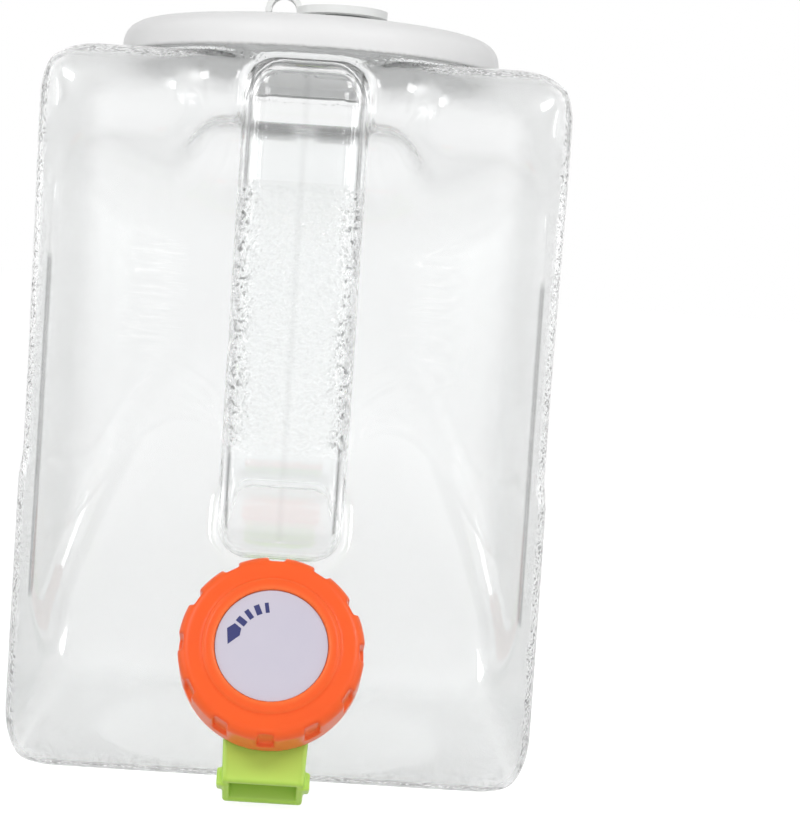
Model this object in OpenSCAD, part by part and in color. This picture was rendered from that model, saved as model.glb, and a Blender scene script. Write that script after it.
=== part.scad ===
// Rigid clear drinking-water jug with a moulded-in front handle, a push-on lid
// with a tethered vent cap, and a rising-stem tap on the sloped lower front.
// Millimetres, +Z up, front facing -Y, origin at the centre of the base.

/* [Tank] */
// Outside width of the tank
tank_w = 158; // [146:1:180]
// Outside depth of the tank, front to back
tank_d = 130; // [128:1:150]
// Height of the tank's top face
tank_h = 215; // [208:1:240]
// Wall thickness of the moulding
wall = 2; // [1.4:0.1:2.4]
// Radius of the four upright corners
plan_r = 16; // [12:0.5:22]
// Radius of the corners as seen from the front
outline_r = 17; // [12:0.5:19]
// Radius of the lower front and back edges as seen from the side
side_r = 12; // [9:0.5:15]
// Radius of the upper front and back edges as seen from the side
top_edge_r = 20; // [14:0.5:24]

/* [Front recess] */
// Height of the upright lip below the slope that carries the tap
lip_h = 17; // [14:0.5:22]
// Lean of the slope from the upright
slope_deg = 26; // [20:1:32]
// Depth of the recess behind the handle
recess_depth = 50; // [44:1:56]
// Half width of the recess where it meets the front
recess_half_w = 74; // [66:1:76]
// Front edge of the recess ceiling below the tank's top
recess_drop = 25; // [17:1:35]
// Lean of the recess ceiling, lower towards the back
ceiling_lean = 24; // [12:1:30]
// Radius of the recess ceiling
ceiling_r = 14; // [8:1:20]
// Height below which the recess draws in
draw_in_h = 54; // [44:1:64]
// Radius of that drawn-in lower end
draw_in_r = 78; // [72:1:90]

// Half width of the arch over the fingers
arch_half_w = 33; // [28:1:36]
// Height of the arch above the ceiling's front edge
arch_rise = 3; // [1:0.5:6]
// Depth of the arch behind the tank's front
arch_depth = 32; // [24:1:36]
// Rounding of the arch's corners
arch_r = 10; // [6:1:14]
// Half width across the channels beside the handle's top
channel_half_w = 35; // [30:1:40]
// Depth of the channels behind the tank's front
channel_depth = 9; // [6:0.5:11]
// Rounding of the channels' corners
channel_r = 6; // [4:0.5:8]

/* [Handle] */
// Width of the handle bar
handle_w = 37; // [32:0.5:40]
// Depth of the handle bar
handle_d = 24; // [20:0.5:26]
// Corner radius of the bar's section
handle_r = 9; // [5:0.5:9.5]
// How far the bar stands proud of the front
handle_proud = 4; // [0:0.5:5]
// Top of the bar below the tank's top
handle_drop = 2.5; // [1:0.5:6]
// Radius of the bar's top end
handle_end_r = 11; // [10:0.5:12]
// Height of the middle of the lower root
root_z = 75; // [73:1:80]
// Bend radius of the lower root, to the middle of the section
bend_r = 22; // [18:1:26]

/* [Neck and lid] */
// Inside radius of the mouth
mouth_r = 53.5; // [46:0.5:54]
// Wall of the neck
neck_t = 2.5; // [2:0.1:3]
// Height of the neck above the tank's top
neck_h = 7; // [6:0.5:12]
// How far the neck runs down into the shoulder
neck_root = 5; // [4:0.5:8]
// How far the snap bead stands out from the neck
bead_out = 1.6; // [0.8:0.1:2]
// Gap between the lid and what it closes on
lid_clear = 0.4; // [0.3:0.05:0.6]
// Wall of the lid
lid_t = 1.8; // [1.4:0.1:2.4]
// Gap between the lid's skirt and the tank's top
skirt_gap = 0.6; // [0.4:0.1:1.5]
// Height of the lid's dome above its rim
dome_h = 4; // [3:0.5:9]
// Rounding of the lid's rim
lid_edge_r = 3.5; // [2.5:0.5:4]
// Depth of the lip that plugs into the mouth
plug_lip_h = 7; // [4:0.5:9]
// Thickness of the lid's sealing ring
lid_seal_t = 1.4; // [1:0.1:2]

/* [Vent cap] */
// Radius of the vent hole through the lid
vent_r = 7.6; // [6:0.1:8]
// Wall of the collar round the vent hole
collar_t = 2.4; // [1.8:0.1:3]
// Height of the collar above the crown of the dome
collar_h = 2; // [1.5:0.1:4]
// Offset of the vent from the middle of the lid
vent_x = 9; // [6:0.5:12]
// Radius of the cap's disc
cap_r = 14.5; // [12.5:0.5:16]
// Thickness of the cap's disc
cap_t = 2.4; // [1.8:0.1:3]
// Depth of the cap's plug
cap_plug_h = 4.6; // [3:0.1:5]
// Gap round the top of the plug
cap_clear = 0.25; // [0.2:0.05:0.4]
// Draft of the plug, on the radius
cap_draft = 0.4; // [0.3:0.05:0.6]
// Width of the strap
strap_w = 7; // [5:0.5:9]
// Thickness of the strap
strap_t = 1.8; // [1.2:0.1:2.2]
// Inside radius of the strap's loop
loop_r = 4; // [3.6:0.1:5]
// Radius of the anchor button
anchor_r = 4.5; // [4:0.5:6]
// Thickness of the anchor button
anchor_t = 1.6; // [1.2:0.1:2.2]
// Radius of the anchor's stalk through the lid
stalk_r = 2; // [1.5:0.1:2.5]
// Overhang of the barb under the lid
barb_out = 1; // [0.6:0.1:1.5]
// Height of the barb
barb_h = 2.2; // [1.6:0.1:3]

/* [Tap body] */
// Distance of the tap's axis up the slope from the lip
tap_up = 16; // [12:0.1:18]
// Radius of the tank's flat pad under the tap
pad_r = 20; // [19.5:0.1:22]
// Outside radius of the spigot through the wall
spigot_r = 13; // [12:0.1:13.5]
// Length of the spigot inside the wall
spigot_in = 13; // [12.5:0.5:15]
// Bore of the spigot
inlet_r = 9.5; // [8.5:0.1:10]
// Gap round the spigot in the wall
hole_clear = 0.3; // [0.2:0.05:0.5]
// Thickness of each tap gasket
gasket_t = 1.6; // [1.2:0.1:2]
// Radius of the tap's flange
flange_r = 18; // [17:0.1:19]
// Thickness of the tap's flange
flange_t = 3; // [2.5:0.1:4]
// Radius of the valve chamber
chamber_r = 12.2; // [11.5:0.1:12.6]
// Wall of the valve chamber
chamber_t = 3.3; // [2.5:0.1:3.6]
// Depth of the valve chamber in front of the seat
chamber_h = 12.7; // [12.5:0.1:14]
// Thickness of the web that carries the valve seat
seat_t = 2; // [1.6:0.1:2.4]
// Radius of the hole through the valve seat
seat_r = 7; // [6:0.1:7.4]

/* [Spout] */
// Width of the spout where it leaves the tap
spout_w = 26; // [24:0.5:28]
// Width of the spout at its outlet
spout_end_w = 22.5; // [21:0.5:24]
// Depth of the spout along the tap's axis
spout_d = 12; // [11:0.1:12.6]
// Length of the spout from the tap's axis
spout_l = 38; // [30:0.5:38.4]
// Wall of the spout
spout_t = 2; // [1.6:0.1:2.2]
// How much shorter the spout's front is than its back
spout_cut = 4; // [2:0.5:6]
// How far the side catches stand out from the spout
lug_out = 1.8; // [1:0.1:2.4]
// Length of the side catches along the spout
lug_l = 5; // [3:0.5:7]
// Distance of the side catches above the outlet
lug_up = 3; // [2:0.5:6]
// Depth of the side catches along the tap's axis
lug_d = 6; // [4:0.5:8]

/* [Nut] */
// Radius of the nut's flange
nut_r = 17; // [16:0.1:17.3]
// Thickness of the nut
nut_h = 8; // [6:0.5:8.5]
// Gap of the nut round the spigot
nut_clear = 0.15; // [0.1:0.05:0.3]
// Width of a nut grip
nut_grip_w = 4; // [3:0.5:5]
// Depth of a nut grip
nut_grip_d = 1.2; // [0.8:0.1:1.6]
// Number of grips round the nut
nut_grips = 12; // [8:1:14]

/* [Bonnet and stem] */
// Thickness of the bonnet's flange
bonnet_t = 2.2; // [1.8:0.1:3]
// Depth of the bonnet's plug in the chamber
bonnet_plug = 4.4; // [4.2:0.1:5]
// Radius of the threaded nose
nose_r = 11; // [10:0.1:11.5]
// Length of the threaded nose
nose_h = 9; // [8:0.5:11]
// Gap of the plug in the chamber
plug_clear = 0.2; // [0.15:0.05:0.3]
// Radius of the stem
stem_r = 4; // [3.6:0.1:4.4]
// Running gap round the stem
stem_clear = 0.08; // [0.05:0.01:0.1]
// Depth of the flat that keeps the stem from turning
stem_flat = 1; // [0.6:0.1:1.4]
// Radius of the stem's journal in the knob
journal_r = 2.8; // [2.4:0.1:3]
// Running gap round the journal
journal_clear = 0.08; // [0.05:0.01:0.1]
// Thickness of the round seals
ring_t = 2; // [1.6:0.1:2.2]
// Radius of the valve disc
disc_r = 9.5; // [9:0.1:10.5]
// Thickness of the valve disc
disc_t = 3; // [2.4:0.1:3.2]
// Gap between the valve disc and its seat
seat_gap = 0.2; // [0.1:0.05:0.3]
// Radius of the stem's shoulder in front of the valve disc
shoulder_r = 6.5; // [6:0.1:7.5]
// Thickness of that shoulder
shoulder_t = 1.2; // [1:0.1:1.3]
// Radius of the button that holds the valve disc on the stem
button_r = 2.5; // [2:0.1:3]

/* [Knob] */
// Outside radius of the knob
knob_r = 26; // [24:0.25:27]
// Height of the knob
knob_h = 16; // [15.5:0.5:18]
// Gap between the knob and the bonnet's flange when shut
knob_gap = 0.6; // [0.5:0.1:1.2]
// Wall of the knob's skirt
knob_wall = 3.2; // [2.6:0.1:3.6]
// Wall of the knob's threaded sleeve
sleeve_t = 2.4; // [2:0.1:3]
// Gap of the sleeve round the threaded nose
sleeve_clear = 0.3; // [0.25:0.05:0.4]
// Thickness of the knob's face
face_t = 4; // [3.5:0.1:4.5]
// Thickness of the web round the journal
web_t = 3.4; // [3:0.1:4]
// Number of grips round the knob
knob_grips = 12; // [10:1:14]
// Width of a grip
grip_w = 4.6; // [3.5:0.1:5.5]
// Depth of a grip
grip_d = 1.5; // [1:0.1:2]
// Length of a grip from the face
grip_l = 10.5; // [8:0.5:12]
// Rounding of the knob's front edge
knob_edge_r = 2.4; // [1:0.1:3]
// Radius of the label disc
label_r = 15.6; // [14:0.1:16.5]
// Thickness of the label disc
label_t = 1; // [0.8:0.1:1.4]
// Gap round the label disc
label_clear = 0.15; // [0.1:0.05:0.25]
// Width of the raised ring round the label
ring_w = 3.2; // [2.4:0.1:4]
// Height of the raised ring round the label
ring_h = 0.8; // [0.5:0.1:1.2]
// Radius of the screw's head
screw_head_r = 4.4; // [4.2:0.1:5]
// Thickness of the screw's head
screw_head_t = 1.4; // [1.2:0.1:1.6]
// Radius of the screw's shank
screw_r = 1.3; // [1.1:0.05:1.5]
// Length of the screw's shank
screw_l = 9; // [6:0.5:12]
// Gap under and round the screw's head
screw_gap = 0.15; // [0.1:0.05:0.2]

/* [Hidden] */
$fn = 96;
big = 400;
front_y = -tank_d / 2;

// The recess is a round barrel cut that stands in front of the tank.
barrel_r = (recess_half_w * recess_half_w + recess_depth * recess_depth) / (2 * recess_depth);
barrel_y = front_y + recess_depth - barrel_r;

// The recess keeps its place under the tank's top.
recess_top = tank_h - recess_drop;

// The arch and the channels above it start inside the recess.
arch_low = recess_top - 3 * arch_r - arch_rise;

// The flat middle of the base stays this far inside the rounded lower edges.
base_margin = 3;
base_w = tank_w - 2 * (outline_r + base_margin);
base_d = tank_d - 2 * (side_r + base_margin);

// The handle bar's middle and top.
bar_y = front_y - handle_proud + handle_d / 2;
bar_top = tank_h - handle_drop;
bend_y = bar_y + bend_r;
bend_z = root_z + bend_r;

// The neck and the lid share these radii and heights.
neck_r = mouth_r + neck_t;
bead_r = neck_r + bead_out;
neck_top = tank_h + neck_h;
skirt_r = bead_r + lid_clear;
lid_r = skirt_r + lid_t;
lid_under = neck_top + lid_clear + lid_seal_t;
lid_rim = lid_under + lid_t;
dome_base_r = lid_r - lid_edge_r;
dome_sphere_r = (dome_base_r * dome_base_r + dome_h * dome_h) / (2 * dome_h);
dome_centre = lid_rim + dome_h - dome_sphere_r;
crown = lid_rim + dome_h;
collar_r = vent_r + collar_t;
collar_top = crown + collar_h;

// The vent cap sits on the collar and turns about a bead at its strap's foot.
cap_under = collar_top + cap_clear;
loop_x = vent_x - cap_r - loop_r;
hinge_x = loop_x - loop_r - strap_t / 2;
hinge_z = cap_under + cap_t / 2;
bead_foot_r = strap_t * 0.6;
anchor_top = hinge_z - bead_foot_r - cap_clear;

// Stations along the tap's axis, measured from the face of the tank's pad.
hole_r = spigot_r + hole_clear;
flange_z = gasket_t;
seat_z = flange_z + flange_t;
seat_face = seat_z + seat_t;
barrel_end = seat_face + chamber_h;
barrel_out_r = chamber_r + chamber_t;
bonnet_face = barrel_end + bonnet_t;
bonnet_in = barrel_end - bonnet_plug;
nose_end = bonnet_face + nose_h;
spout_z = barrel_end - spout_d;
knob_back = bonnet_face + knob_gap;
knob_front = knob_back + knob_h;
label_seat = knob_front - label_t;
head_seat = label_seat - screw_head_t - 3 * screw_gap;
web_back = head_seat - web_t;
sleeve_r = nose_r + sleeve_clear;
pocket_r = pad_r - wall;

// A rectangle with round corners, centred.
module round_rect(w, h, r) {
    square([w - 2 * r, h], center = true);
    square([w, h - 2 * r], center = true);
    for (x = [-1, 1], y = [-1, 1])
        translate([x * (w / 2 - r), y * (h / 2 - r)]) circle(r);
}

// A side view standing on y = 0, with one radius for its lower corners and one for its upper ones.
module side_view(d, h, r_low, r_high) {
    translate([-d / 2, r_low]) square([d, h - r_low - r_high]);
    translate([-d / 2 + r_low, 0]) square([d - 2 * r_low, h / 2]);
    translate([-d / 2 + r_high, h / 2]) square([d - 2 * r_high, h / 2]);
    for (x = [-1, 1]) {
        translate([x * (d / 2 - r_low), r_low]) circle(r_low);
        translate([x * (d / 2 - r_high), h - r_high]) circle(r_high);
    }
}

// A block standing on z = 0 with its corners rounded in all three views.
module round_block(w, d, h, r_plan, r_front, r_low, r_high) {
    intersection() {
        linear_extrude(h) round_rect(w, d, r_plan);
        translate([0, d / 2, h / 2]) rotate([90, 0, 0]) linear_extrude(d) round_rect(w, h, r_front);
        translate([-w / 2, 0, 0]) rotate([90, 0, 90]) linear_extrude(w) side_view(d, h, r_low, r_high);
    }
}

// A ring standing on z = 0.
module ring(outer, inner, h) {
    difference() {
        cylinder(r = outer, h = h);
        translate([0, 0, -1]) cylinder(r = inner, h = h + 2);
    }
}

// A round seal lying on z = 0.
module o_ring(inner, thick) {
    translate([0, 0, thick / 2]) rotate_extrude() translate([inner + thick / 2, 0]) circle(thick / 2);
}

// Children are placed on the slope, with +Z out of the tank and -Y down the slope.
module on_slope() {
    translate([0, front_y + tap_up * sin(slope_deg), lip_h + tap_up * cos(slope_deg)])
        rotate([90 - slope_deg, 0, 0]) children();
}

// The recess in the tank's front, larger all round by grow.
module recess(grow) {
    intersection() {
        translate([0, barrel_y, 0]) rotate_extrude() {
            translate([0, draw_in_h]) square([barrel_r + grow, recess_top - ceiling_r - draw_in_h]);
            square([barrel_r - ceiling_r, recess_top + grow]);
            translate([barrel_r - ceiling_r, recess_top - ceiling_r]) circle(ceiling_r + grow);
            intersection() {
                translate([barrel_r - draw_in_r, draw_in_h]) circle(draw_in_r + grow);
                square([barrel_r + grow, draw_in_h]);
            }
        }
        on_slope() translate([-big / 2, -big / 2, -grow]) cube([big, big, big]);
        translate([0, front_y, recess_top]) rotate([-ceiling_lean, 0, 0])
            translate([-big / 2, -big / 2, grow - big]) cube(big);
    }
    // Arch over the fingers.
    arch_top = recess_top + arch_rise + grow;
    translate([0, front_y + arch_depth + grow, (arch_low + arch_top) / 2]) rotate([90, 0, 0])
        linear_extrude(2 * arch_depth)
            round_rect(2 * (arch_half_w + grow), arch_top - arch_low, arch_r + grow);
    // Channels that part the handle's top from the shoulders.
    translate([0, front_y, arch_low]) linear_extrude(big)
        round_rect(2 * (channel_half_w + grow), 2 * (channel_depth + grow), channel_r + grow);
}

// The handle bar with its bent lower root, smaller all round by inset.
module bar(inset) {
    w = handle_w - 2 * inset;
    d = handle_d - 2 * inset;
    r = handle_r - inset;
    end_r = handle_end_r - inset;
    top_r = d / 2 - 0.5;
    intersection() {
        translate([0, bar_y, root_z]) round_block(w, d, bar_top - inset - root_z, r, end_r, top_r, top_r);
        translate([-big / 2, -big / 2, bend_z]) cube(big);
    }
    translate([0, bend_y, bend_z]) rotate([0, 90, 0]) rotate([0, 0, -90])
        rotate_extrude(angle = 90) translate([bend_r, 0]) round_rect(d, w, r);
    translate([0, bend_y + bend_r, root_z]) rotate([90, 0, 0]) linear_extrude(bend_r) round_rect(w, d, r);
}

// The flat middle of the base, thicker by spare above and below.
module base_panel(spare) {
    translate([-base_w / 2, -base_d / 2, -spare]) cube([base_w, base_d, wall + 2 * spare]);
}

module tank() {
    color([0.9, 0.94, 0.96, 0.45]) difference() {
        union() {
            difference() {
                union() {
                    round_block(tank_w, tank_d, tank_h, plan_r, outline_r, side_r, top_edge_r);
                    bar(0);
                }
                recess(0);
            }
            on_slope() translate([0, 0, -pad_r / 2]) cylinder(r = pad_r, h = pad_r / 2);
            translate([0, 0, tank_h - neck_root]) cylinder(r = neck_r, h = neck_root);
        }
        difference() {
            translate([0, 0, wall])
                round_block(tank_w - 2 * wall, tank_d - 2 * wall, tank_h - 2 * wall,
                            plan_r - wall, outline_r - wall, side_r - wall, top_edge_r - wall);
            recess(wall);
        }
        bar(wall);
        translate([0, 0, tank_h - neck_root - wall]) cylinder(r = mouth_r, h = neck_root + 2 * wall);
        on_slope() translate([0, 0, -wall - pad_r / 2]) cylinder(r = pocket_r, h = pad_r / 2);
        on_slope() translate([0, 0, -2 * wall]) cylinder(r = hole_r, h = 4 * wall);
        base_panel(1);
    }
}

// The flat middle of the base, moulded in one with the tank.
module base() {
    color([0.9, 0.94, 0.96, 0.45]) base_panel(0);
}

// The free length of the handle, moulded in one with the tank.
module handle() {
    color([0.9, 0.94, 0.96, 0.45]) intersection() {
        difference() {
            bar(0);
            bar(wall);
        }
        recess(0);
    }
}

// The round neck with its bead, moulded in one with the tank.
module neck() {
    color([0.9, 0.94, 0.96, 0.45]) translate([0, 0, tank_h]) rotate_extrude() {
        translate([mouth_r, 0]) square([neck_t, neck_h]);
        intersection() {
            translate([neck_r, neck_h / 2]) circle(bead_out);
            translate([neck_r - neck_t / 2, 0]) square([2 * bead_out + neck_t, neck_h]);
        }
    }
}

module lid() {
    color([0.93, 0.94, 0.95]) difference() {
        union() {
            rotate_extrude() {
                // Skirt, with the rounded rim above it.
                translate([skirt_r, tank_h + skirt_gap])
                    square([lid_t, lid_rim - lid_edge_r - tank_h - skirt_gap]);
                intersection() {
                    difference() {
                        translate([lid_r - lid_edge_r, lid_rim - lid_edge_r]) circle(lid_edge_r);
                        translate([lid_r - lid_edge_r, lid_rim - lid_edge_r]) circle(lid_edge_r - lid_t);
                    }
                    translate([lid_r - lid_edge_r, lid_rim - lid_edge_r]) square(lid_edge_r + 1);
                }
                // Flat land over the neck, and the lip that plugs into the mouth.
                translate([mouth_r - lid_clear - lid_t, lid_under])
                    square([dome_base_r - mouth_r + lid_clear + lid_t, lid_t]);
                translate([mouth_r - lid_clear - lid_t, lid_under - plug_lip_h])
                    square([lid_t, plug_lip_h + lid_t / 2]);
                // Domed crown.
                intersection() {
                    difference() {
                        translate([0, dome_centre]) circle(dome_sphere_r, $fn = 360);
                        translate([0, dome_centre]) circle(dome_sphere_r - lid_t, $fn = 360);
                    }
                    translate([0, lid_under]) square([dome_base_r, dome_h + 2 * lid_t]);
                }
            }
            translate([vent_x, 0, crown - lid_t]) cylinder(r = collar_r, h = collar_h + lid_t);
            translate([hinge_x, 0, crown - lid_t - 1])
                cylinder(r = anchor_r, h = anchor_top - anchor_t - crown + lid_t + 1);
        }
        translate([vent_x, 0, lid_under]) cylinder(r = vent_r, h = collar_top);
        translate([hinge_x, 0, lid_under]) cylinder(r = stalk_r + cap_clear, h = collar_top);
    }
}

module lid_gasket() {
    color([0.86, 0.88, 0.9]) translate([0, 0, neck_top + lid_clear]) ring(neck_r, mouth_r, lid_seal_t);
}

module vent_cap() {
    color([0.95, 0.95, 0.95]) {
        translate([vent_x, 0, cap_under]) cylinder(r = cap_r, h = cap_t);
        translate([vent_x, 0, cap_under - cap_plug_h])
            cylinder(r1 = vent_r - cap_clear - cap_draft, r2 = vent_r - cap_clear,
                     h = cap_plug_h + cap_t / 2);
        // Strap: a half loop from the disc's edge down to a bead at the anchor.
        translate([loop_x, strap_w / 2, hinge_z]) rotate([90, 0, 0]) linear_extrude(strap_w)
            difference() {
                circle(loop_r + strap_t);
                circle(loop_r);
                translate([-big / 2, -big]) square(big);
            }
        translate([loop_x + loop_r, -strap_w / 2, hinge_z - cap_t / 2]) cube([strap_t + 2, strap_w, cap_t]);
        translate([hinge_x, strap_w / 2, hinge_z]) rotate([90, 0, 0]) cylinder(r = bead_foot_r, h = strap_w);
    }
}

module vent_anchor() {
    color([0.95, 0.95, 0.95]) translate([hinge_x, 0, 0]) {
        translate([0, 0, anchor_top - anchor_t]) cylinder(r = anchor_r, h = anchor_t);
        translate([0, 0, lid_rim]) cylinder(r = stalk_r, h = anchor_top - anchor_t / 2 - lid_rim);
    }
}

// Outline of the spout as seen from the front of the tap, narrowing to its outlet.
module spout_outline(inset) {
    polygon([[-spout_w / 2 + inset, 0], [spout_w / 2 - inset, 0],
             [spout_end_w / 2 - inset, -spout_l - inset], [-spout_end_w / 2 + inset, -spout_l - inset]]);
}

module tap_body() {
    lug_w = spout_end_w + 2 * lug_out;
    color([0.62, 0.82, 0.2]) on_slope() difference() {
        union() {
            translate([0, 0, -wall - spigot_in]) cylinder(r = spigot_r, h = wall + spigot_in + flange_z + 1);
            translate([0, 0, flange_z]) cylinder(r = flange_r, h = flange_t);
            translate([0, 0, flange_z]) cylinder(r = barrel_out_r, h = barrel_end - flange_z);
            translate([0, 0, spout_z]) linear_extrude(spout_d) spout_outline(0);
            // A catch on each side of the outlet.
            translate([-lug_w / 2, -spout_l + lug_up, spout_z + spout_d / 2 - lug_d / 2])
                cube([lug_w, lug_l, lug_d]);
        }
        translate([0, 0, -wall - spigot_in - 1]) cylinder(r = inlet_r, h = wall + spigot_in + 1 + seat_z);
        translate([0, 0, seat_z - 1]) cylinder(r = seat_r, h = seat_t + 2);
        translate([0, 0, seat_face]) cylinder(r = chamber_r, h = chamber_h + 1);
        translate([0, 0, spout_z + spout_t]) linear_extrude(spout_d - 2 * spout_t) spout_outline(spout_t);
        // The outlet is cut on a slant, so that it opens towards the front.
        translate([0, -spout_l, spout_z]) rotate([-atan(spout_cut / spout_d), 0, 0])
            translate([-big / 2, -big, -big / 2]) cube(big);
    }
}

module tap_gasket_outer() {
    color([0.93, 0.94, 0.92]) on_slope() ring(flange_r, hole_r, gasket_t);
}

module tap_gasket_inner() {
    color([0.93, 0.94, 0.92]) on_slope() translate([0, 0, -wall - gasket_t]) ring(nut_r, hole_r, gasket_t);
}

module tap_nut() {
    color([0.62, 0.82, 0.2]) on_slope() translate([0, 0, -wall - gasket_t - nut_h]) difference() {
        ring(nut_r, spigot_r + nut_clear, nut_h);
        for (i = [0 : nut_grips - 1])
            rotate([0, 0, i * 360 / nut_grips])
                translate([nut_r - nut_grip_d, -nut_grip_w / 2, -1])
                    cube([nut_grip_d + 1, nut_grip_w, nut_h - 1]);
    }
}

// The stem's round section with its one flat, larger all round by grow.
module stem_section(grow) {
    intersection() {
        circle(stem_r + grow);
        translate([-stem_r - 1, -stem_r - 1]) square([2 * stem_r + 2, 2 * stem_r + 1 - stem_flat + grow]);
    }
}

module bonnet() {
    color([0.62, 0.82, 0.2]) on_slope() difference() {
        union() {
            translate([0, 0, bonnet_in]) cylinder(r = chamber_r - plug_clear, h = bonnet_plug + 0.5);
            translate([0, 0, barrel_end]) cylinder(r = barrel_out_r, h = bonnet_t);
            translate([0, 0, barrel_end]) cylinder(r = nose_r, h = nose_end - barrel_end);
        }
        translate([0, 0, bonnet_in - 1]) linear_extrude(nose_end - bonnet_in + 2) stem_section(stem_clear);
        // Gland for the stem's seal, open towards the chamber.
        translate([0, 0, bonnet_in - 1]) cylinder(r = stem_r + stem_clear + ring_t, h = ring_t + 1.4);
        // Groove for the seal against the chamber.
        translate([0, 0, barrel_end - ring_t - 1])
            ring(chamber_r + 1, chamber_r - ring_t, ring_t);
    }
}

module bonnet_ring() {
    color([0.2, 0.2, 0.22]) on_slope() translate([0, 0, barrel_end - ring_t - 1])
        o_ring(chamber_r - ring_t, ring_t);
}

module stem_ring() {
    color([0.2, 0.2, 0.22]) on_slope() translate([0, 0, bonnet_in + 0.2]) o_ring(stem_r + stem_clear, ring_t);
}

module stem() {
    disc_z = seat_face + seat_gap;
    color([0.9, 0.9, 0.86]) on_slope() difference() {
        union() {
            translate([0, 0, disc_z + disc_t]) cylinder(r = shoulder_r, h = shoulder_t);
            translate([0, 0, disc_z + disc_t])
                linear_extrude(web_back - screw_gap - disc_z - disc_t) stem_section(0);
            translate([0, 0, web_back - screw_gap - 1])
                cylinder(r = journal_r, h = head_seat + 2 * screw_gap - web_back + 1);
            // Button that holds the valve disc.
            translate([0, 0, disc_z + 0.4]) cylinder(r = button_r, h = disc_t);
        }
        translate([0, 0, head_seat + screw_gap - screw_l]) cylinder(r = screw_r, h = screw_l + 1);
    }
}

module valve_disc() {
    color([0.2, 0.2, 0.22]) on_slope() translate([0, 0, seat_face + seat_gap]) difference() {
        cylinder(r = disc_r, h = disc_t);
        translate([0, 0, 0.4]) cylinder(r = button_r, h = disc_t);
    }
}

module knob_screw() {
    color("silver") on_slope() translate([0, 0, head_seat + screw_gap]) {
        cylinder(r = screw_head_r, h = screw_head_t);
        translate([0, 0, -screw_l]) cylinder(r = screw_r, h = screw_l + screw_head_t / 2);
    }
}

module knob() {
    recess_r = label_r + label_clear;
    color([1, 0.4, 0.12]) on_slope() difference() {
        union() {
            translate([0, 0, knob_back]) rotate_extrude() {
                square([knob_r, knob_h - knob_edge_r]);
                square([knob_r - knob_edge_r, knob_h]);
                translate([knob_r - knob_edge_r, knob_h - knob_edge_r]) circle(knob_edge_r);
            }
            translate([0, 0, knob_front - 1]) cylinder(r = recess_r + ring_w, h = ring_h + 1);
        }
        // Hollow between the skirt and the threaded sleeve.
        translate([0, 0, knob_back - 1])
            ring(knob_r - knob_wall, sleeve_r + sleeve_t, knob_front - face_t - knob_back + 1);
        translate([0, 0, knob_back - 1]) cylinder(r = sleeve_r, h = web_back - knob_back + 1);
        translate([0, 0, web_back - 1]) cylinder(r = journal_r + journal_clear, h = web_t + 2);
        translate([0, 0, head_seat]) cylinder(r = screw_head_r + screw_gap, h = knob_h);
        translate([0, 0, label_seat]) cylinder(r = recess_r, h = knob_h);
        for (i = [0 : knob_grips - 1])
            rotate([0, 0, i * 360 / knob_grips])
                translate([-grip_w / 2, knob_r - grip_d, knob_front - grip_l])
                    cube([grip_w, grip_d + 1, grip_l + 1]);
    }
}

module knob_label() {
    color([0.85, 0.84, 0.9]) on_slope() translate([0, 0, label_seat]) cylinder(r = label_r, h = label_t);
}

tank();
base();
handle();
neck();
lid();
lid_gasket();
vent_cap();
vent_anchor();
tap_body();
tap_gasket_outer();
tap_gasket_inner();
tap_nut();
bonnet();
bonnet_ring();
stem_ring();
stem();
valve_disc();
knob_screw();
knob();
knob_label();
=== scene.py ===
import math

import bmesh
import bpy
import numpy as np
from mathutils import Matrix, Vector


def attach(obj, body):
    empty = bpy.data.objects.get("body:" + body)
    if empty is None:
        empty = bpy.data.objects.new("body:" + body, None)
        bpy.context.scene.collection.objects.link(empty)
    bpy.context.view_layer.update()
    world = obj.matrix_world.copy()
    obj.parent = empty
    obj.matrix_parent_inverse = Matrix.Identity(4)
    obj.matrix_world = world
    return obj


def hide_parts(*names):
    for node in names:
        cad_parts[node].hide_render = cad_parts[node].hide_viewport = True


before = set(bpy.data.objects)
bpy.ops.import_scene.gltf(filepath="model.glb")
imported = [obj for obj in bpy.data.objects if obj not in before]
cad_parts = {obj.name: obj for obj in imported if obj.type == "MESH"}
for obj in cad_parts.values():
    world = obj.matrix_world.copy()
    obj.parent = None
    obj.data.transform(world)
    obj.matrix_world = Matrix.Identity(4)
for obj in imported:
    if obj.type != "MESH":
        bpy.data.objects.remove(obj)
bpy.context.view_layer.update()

# Camera.
# The jug is photographed square to its front, from about two thirds of its height, and leans a few degrees
# in the picture. The pixel is where a line straight back from the camera would end.
photo_width = 800
photo_height = 836
straight_back_px = (311, 255)
focal_px = 1914
lean = math.radians(3.67)
camera_place = Vector((0.004, -0.615, 0.156))
sensor_mm = 36
down_shift = -0.08

camera_data = bpy.data.cameras.new("camera")
camera_data.sensor_width = sensor_mm
camera_data.lens = sensor_mm * focal_px / photo_height
camera_data.shift_x = (photo_width / 2 - straight_back_px[0]) / photo_height
camera_data.shift_y = down_shift
look_down = math.atan((photo_height * (0.5 + down_shift) - straight_back_px[1]) / focal_px)
camera = bpy.data.objects.new("camera", camera_data)
camera.matrix_world = (
    Matrix.Translation(camera_place)
    @ Matrix.Rotation(math.radians(90), 4, "X")
    @ Matrix.Rotation(lean, 4, "Z")
    @ Matrix.Rotation(-look_down, 4, "X")
)
bpy.context.scene.collection.objects.link(camera)
bpy.context.scene.camera = camera
bpy.context.scene.view_settings.view_transform = "Standard"


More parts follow.
